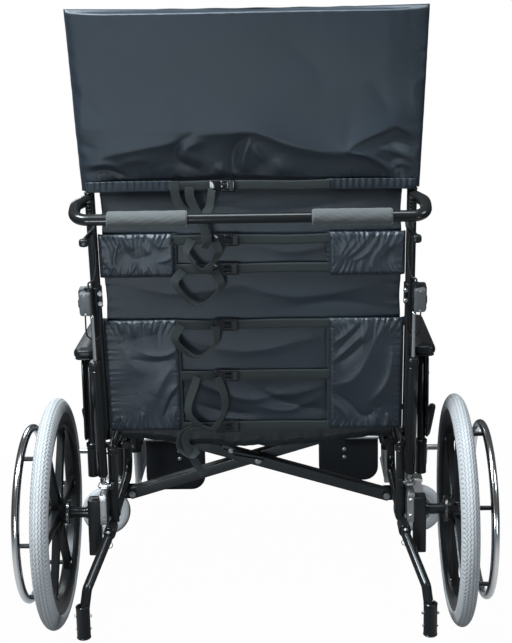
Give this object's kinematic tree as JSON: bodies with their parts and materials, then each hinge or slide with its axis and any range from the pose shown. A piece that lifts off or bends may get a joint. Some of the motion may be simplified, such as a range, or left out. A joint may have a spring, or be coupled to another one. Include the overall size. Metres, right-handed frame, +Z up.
{
  "type": "reclining wheelchair",
  "caption": "Folding reclining wheelchair with a high back, sliding headrest, elevating legrests, mag rear wheels and anti-tip tails.",
  "frame": {"origin": "on the floor, under the middle of the chair's box", "axes": "+X to the sitter's right, +Y forward, +Z up"},
  "size_m": [1.2246, 1.255, 1.6237],
  "materials": {
    "black_paint": "gloss black powder coat",
    "brace_paint": "grey powder coat",
    "zinc": "zinc plated",
    "chrome": "polished",
    "grey_tyre": "light grey treaded tyre",
    "black_plastic": "moulded black",
    "gloss_plastic": "gloss black",
    "grey_plastic": "moulded grey",
    "foam": "heathered grey foam",
    "nylon": "coated charcoal nylon",
    "vinyl": "black vinyl"
  },
  "bodies": {
    "frame_left": {"side_frame_left": "black_paint", "axle_post_left": "black_paint"},
    "wheel_left": {"rear_tyre_left": "grey_tyre", "mag_wheel_left": "black_plastic", "handrim_left": "chrome", "hub_bearings_left": "zinc"},
    "fork_left": {"caster_fork_left": "zinc"},
    "caster_left": {"caster_wheel_left": "grey_tyre"},
    "armrest_left": {"arm_frame_left": "black_paint", "arm_panel_left": "gloss_plastic", "arm_pad_left": "vinyl"},
    "parking_lever_left": {"brake_lever_left": "black_plastic"},
    "parking_shoe_left": {"brake_shoe_left": "zinc"},
    "tail_left": {"anti_tip_tail_left": "black_paint"},
    "hanger_left": {"leg_hanger_left": "black_paint"},
    "leg_left": {"leg_tube_left": "chrome", "calf_pad_left": "vinyl"},
    "foot_left": {"footplate_left": "grey_plastic"},
    "brace_left": {"brace_arm_left": "brace_paint"},
    "seat_left": {"seat_rail_left": "black_paint", "seat_sling": "nylon"},
    "back_left": {"back_cane_left": "black_paint", "push_grip_left": "foam", "release_head_left": "grey_plastic", "release_cable_left": "black_plastic", "back_sling": "nylon"},
    "headrest_left": {"headrest_post_left": "black_paint", "headrest_cover": "nylon"},
    "squeeze_left": {"release_lever_left": "black_plastic"},
    "spring_left": {"recline_cylinder_left": "black_paint"},
    "rod_left": {"recline_rod_left": "chrome"},
    "frame_right": {"side_frame_right": "black_paint", "axle_post_right": "black_paint"},
    "wheel_right": {"rear_tyre_right": "grey_tyre", "mag_wheel_right": "black_plastic", "handrim_right": "chrome", "hub_bearings_right": "zinc"},
    "fork_right": {"caster_fork_right": "zinc"},
    "caster_right": {"caster_wheel_right": "grey_tyre"},
    "armrest_right": {"arm_frame_right": "black_paint", "arm_panel_right": "gloss_plastic", "arm_pad_right": "vinyl"},
    "parking_lever_right": {"brake_lever_right": "black_plastic"},
    "parking_shoe_right": {"brake_shoe_right": "zinc"},
    "tail_right": {"anti_tip_tail_right": "black_paint"},
    "hanger_right": {"leg_hanger_right": "black_paint"},
    "leg_right": {"leg_tube_right": "chrome", "calf_pad_right": "vinyl"},
    "foot_right": {"footplate_right": "grey_plastic"},
    "brace_right": {"brace_arm_right": "brace_paint"},
    "seat_right": {"seat_rail_right": "black_paint"},
    "back_right": {"back_cane_right": "black_paint", "push_grip_right": "foam", "release_head_right": "grey_plastic", "release_cable_right": "black_plastic"},
    "headrest_right": {"headrest_post_right": "black_paint"},
    "squeeze_right": {"release_lever_right": "black_plastic"},
    "spring_right": {"recline_cylinder_right": "black_paint"},
    "rod_right": {"recline_rod_right": "chrome"},
    "push_bar": {"push_bar_middle": "black_paint"}
  },
  "joints": [
    {"name": "fold", "type": "slide", "parent": "frame_left", "child": "frame_right", "axis": [1, 0, 0], "range_m": [-0.29, 0], "deforming": ["seat_sling", "back_sling", "headrest_cover"]},
    {"name": "brace_left_turn", "type": "hinge", "parent": "frame_left", "child": "brace_left", "pos_m": [-0.362, -0.05552, 0.258], "axis": [0, -1, 0], "range_deg": [0, 38.39]},
    {"name": "brace_right_turn", "type": "hinge", "parent": "frame_right", "child": "brace_right", "pos_m": [0.362, -0.08947, 0.258], "axis": [0, 1, 0], "range_deg": [0, 38.39]},
    {"name": "seat_right_level", "type": "hinge", "parent": "brace_left", "child": "seat_right", "pos_m": [0.352, -0.05552, 0.47], "axis": [0, 1, 0], "range_deg": [0, 38.39]},
    {"name": "seat_left_level", "type": "hinge", "parent": "brace_right", "child": "seat_left", "pos_m": [-0.352, -0.08947, 0.47], "axis": [0, -1, 0], "range_deg": [0, 38.39]},
    {"name": "push_bar_middle_slide", "type": "slide", "parent": "back_left", "child": "push_bar", "axis": [1, 0, 0], "range_m": [-0.145, 0]},
    {"name": "recline_left", "type": "hinge", "parent": "frame_left", "child": "back_left", "pos_m": [-0.402, -0.2825, 0.51], "axis": [1, 0, 0], "range_deg": [0, 70]},
    {"name": "recline_spring_left_swing", "type": "hinge", "parent": "frame_left", "child": "spring_left", "pos_m": [-0.41, -0.3025, 0.372], "axis": [1, 0, 0], "range_deg": [0, 54.97]},
    {"name": "recline_spring_left_stroke", "type": "slide", "parent": "spring_left", "child": "rod_left", "axis": [0, -0.16, 0.9871], "range_m": [-0.11397, 0]},
    {"name": "headrest_left_lift", "type": "slide", "parent": "back_left", "child": "headrest_left", "axis": [0, -0.165, 0.9863], "range_m": [0, 0.06]},
    {"name": "release_lever_left_squeeze", "type": "hinge", "parent": "back_left", "child": "squeeze_left", "pos_m": [-0.3845, -0.4385, 1.122], "axis": [-1, 0, 0], "range_deg": [0, 10], "stiffness_Nm_per_rad": 0.5, "springref_deg": -5.73},
    {"name": "wheel_left_spin", "type": "hinge", "parent": "frame_left", "child": "wheel_left", "pos_m": [-0.533, -0.3225, 0.305], "axis": [1, 0, 0], "continuous": true},
    {"name": "caster_left_swivel", "type": "hinge", "parent": "frame_left", "child": "fork_left", "pos_m": [-0.44, 0.2575, 0.195], "axis": [0, 0, 1], "continuous": true},
    {"name": "caster_left_roll", "type": "hinge", "parent": "fork_left", "child": "caster_left", "pos_m": [-0.487, 0.2575, 0.075], "axis": [0, 1, 0], "continuous": true},
    {"name": "armrest_left_lift", "type": "slide", "parent": "frame_left", "child": "armrest_left", "axis": [0, 0, 1], "range_m": [0, 0.09]},
    {"name": "brake_lever_left_push", "type": "hinge", "parent": "frame_left", "child": "parking_lever_left", "pos_m": [-0.47, 0.0295, 0.345], "axis": [-1, 0, 0], "range_deg": [0, 55]},
    {"name": "brake_shoe_left_press", "type": "hinge", "parent": "frame_left", "child": "parking_shoe_left", "pos_m": [-0.47, 0.0225, 0.315], "axis": [1, 0, 0], "range_deg": [0, 20]},
    {"name": "anti_tip_left_turn", "type": "hinge", "parent": "frame_left", "child": "tail_left", "pos_m": [-0.392, -0.3575, 0.256], "axis": [0, -1, 0], "range_deg": [0, 180]},
    {"name": "legrest_left_swing", "type": "hinge", "parent": "frame_left", "child": "hanger_left", "pos_m": [-0.38, 0.3275, 0.418], "axis": [0, 0, 1], "range_deg": [0, 90]},
    {"name": "legrest_left_elevate", "type": "hinge", "parent": "hanger_left", "child": "leg_left", "pos_m": [-0.4045, 0.3535, 0.418], "axis": [1, 0, 0], "range_deg": [0, 65]},
    {"name": "footplate_left_flip", "type": "hinge", "parent": "leg_left", "child": "foot_left", "pos_m": [-0.4045, 0.4475, 0.105], "axis": [0, 1, 0], "range_deg": [0, 90]},
    {"name": "recline_right", "type": "hinge", "parent": "frame_right", "child": "back_right", "pos_m": [0.402, -0.2825, 0.51], "axis": [1, 0, 0], "range_deg": [0, 70]},
    {"name": "recline_spring_right_swing", "type": "hinge", "parent": "frame_right", "child": "spring_right", "pos_m": [0.41, -0.3025, 0.372], "axis": [1, 0, 0], "range_deg": [0, 54.97]},
    {"name": "recline_spring_right_stroke", "type": "slide", "parent": "spring_right", "child": "rod_right", "axis": [0, -0.16, 0.9871], "range_m": [-0.11397, 0]},
    {"name": "headrest_right_lift", "type": "slide", "parent": "back_right", "child": "headrest_right", "axis": [0, -0.165, 0.9863], "range_m": [0, 0.06]},
    {"name": "release_lever_right_squeeze", "type": "hinge", "parent": "back_right", "child": "squeeze_right", "pos_m": [0.3845, -0.4385, 1.122], "axis": [-1, 0, 0], "range_deg": [0, 10], "stiffness_Nm_per_rad": 0.5, "springref_deg": -5.73},
    {"name": "wheel_right_spin", "type": "hinge", "parent": "frame_right", "child": "wheel_right", "pos_m": [0.533, -0.3225, 0.305], "axis": [1, 0, 0], "continuous": true},
    {"name": "caster_right_swivel", "type": "hinge", "parent": "frame_right", "child": "fork_right", "pos_m": [0.44, 0.2575, 0.195], "axis": [0, 0, 1], "continuous": true},
    {"name": "caster_right_roll", "type": "hinge", "parent": "fork_right", "child": "caster_right", "pos_m": [0.487, 0.2575, 0.075], "axis": [0, 1, 0], "continuous": true},
    {"name": "armrest_right_lift", "type": "slide", "parent": "frame_right", "child": "armrest_right", "axis": [0, 0, 1], "range_m": [0, 0.09]},
    {"name": "brake_lever_right_push", "type": "hinge", "parent": "frame_right", "child": "parking_lever_right", "pos_m": [0.47, 0.0295, 0.345], "axis": [-1, 0, 0], "range_deg": [0, 55]},
    {"name": "brake_shoe_right_press", "type": "hinge", "parent": "frame_right", "child": "parking_shoe_right", "pos_m": [0.47, 0.0225, 0.315], "axis": [1, 0, 0], "range_deg": [0, 20]},
    {"name": "anti_tip_right_turn", "type": "hinge", "parent": "frame_right", "child": "tail_right", "pos_m": [0.392, -0.3575, 0.256], "axis": [0, 1, 0], "range_deg": [0, 180]},
    {"name": "legrest_right_swing", "type": "hinge", "parent": "frame_right", "child": "hanger_right", "pos_m": [0.38, 0.3275, 0.418], "axis": [0, 0, -1], "range_deg": [0, 90]},
    {"name": "legrest_right_elevate", "type": "hinge", "parent": "hanger_right", "child": "leg_right", "pos_m": [0.4045, 0.3535, 0.418], "axis": [1, 0, 0], "range_deg": [0, 65]},
    {"name": "footplate_right_flip", "type": "hinge", "parent": "leg_right", "child": "foot_right", "pos_m": [0.4045, 0.4475, 0.105], "axis": [0, -1, 0], "range_deg": [0, 90]}
  ],
  "couplings": [
    {"joint": "brace_left_turn", "follows": "fold", "rad_per_m": -2.3103},
    {"joint": "brace_right_turn", "follows": "fold", "rad_per_m": -2.3103},
    {"joint": "seat_right_level", "follows": "fold", "rad_per_m": -2.3103},
    {"joint": "seat_left_level", "follows": "fold", "rad_per_m": -2.3103},
    {"joint": "push_bar_middle_slide", "follows": "fold", "ratio": 0.5},
    {"joint": "recline_spring_left_swing", "follows": "recline_left", "ratio": 0.78525},
    {"joint": "recline_spring_left_stroke", "follows": "recline_left", "m_per_rad": -0.093282},
    {"joint": "brake_shoe_left_press", "follows": "brake_lever_left_push", "ratio": 0.36364},
    {"joint": "recline_spring_right_swing", "follows": "recline_left", "ratio": 0.78525},
    {"joint": "recline_spring_right_stroke", "follows": "recline_left", "m_per_rad": -0.093282},
    {"joint": "brake_shoe_right_press", "follows": "brake_lever_right_push", "ratio": 0.36364},
    {"joint": "recline_right", "follows": "recline_left", "ratio": 1},
    {"joint": "headrest_right_lift", "follows": "headrest_left_lift", "ratio": 1}
  ]
}
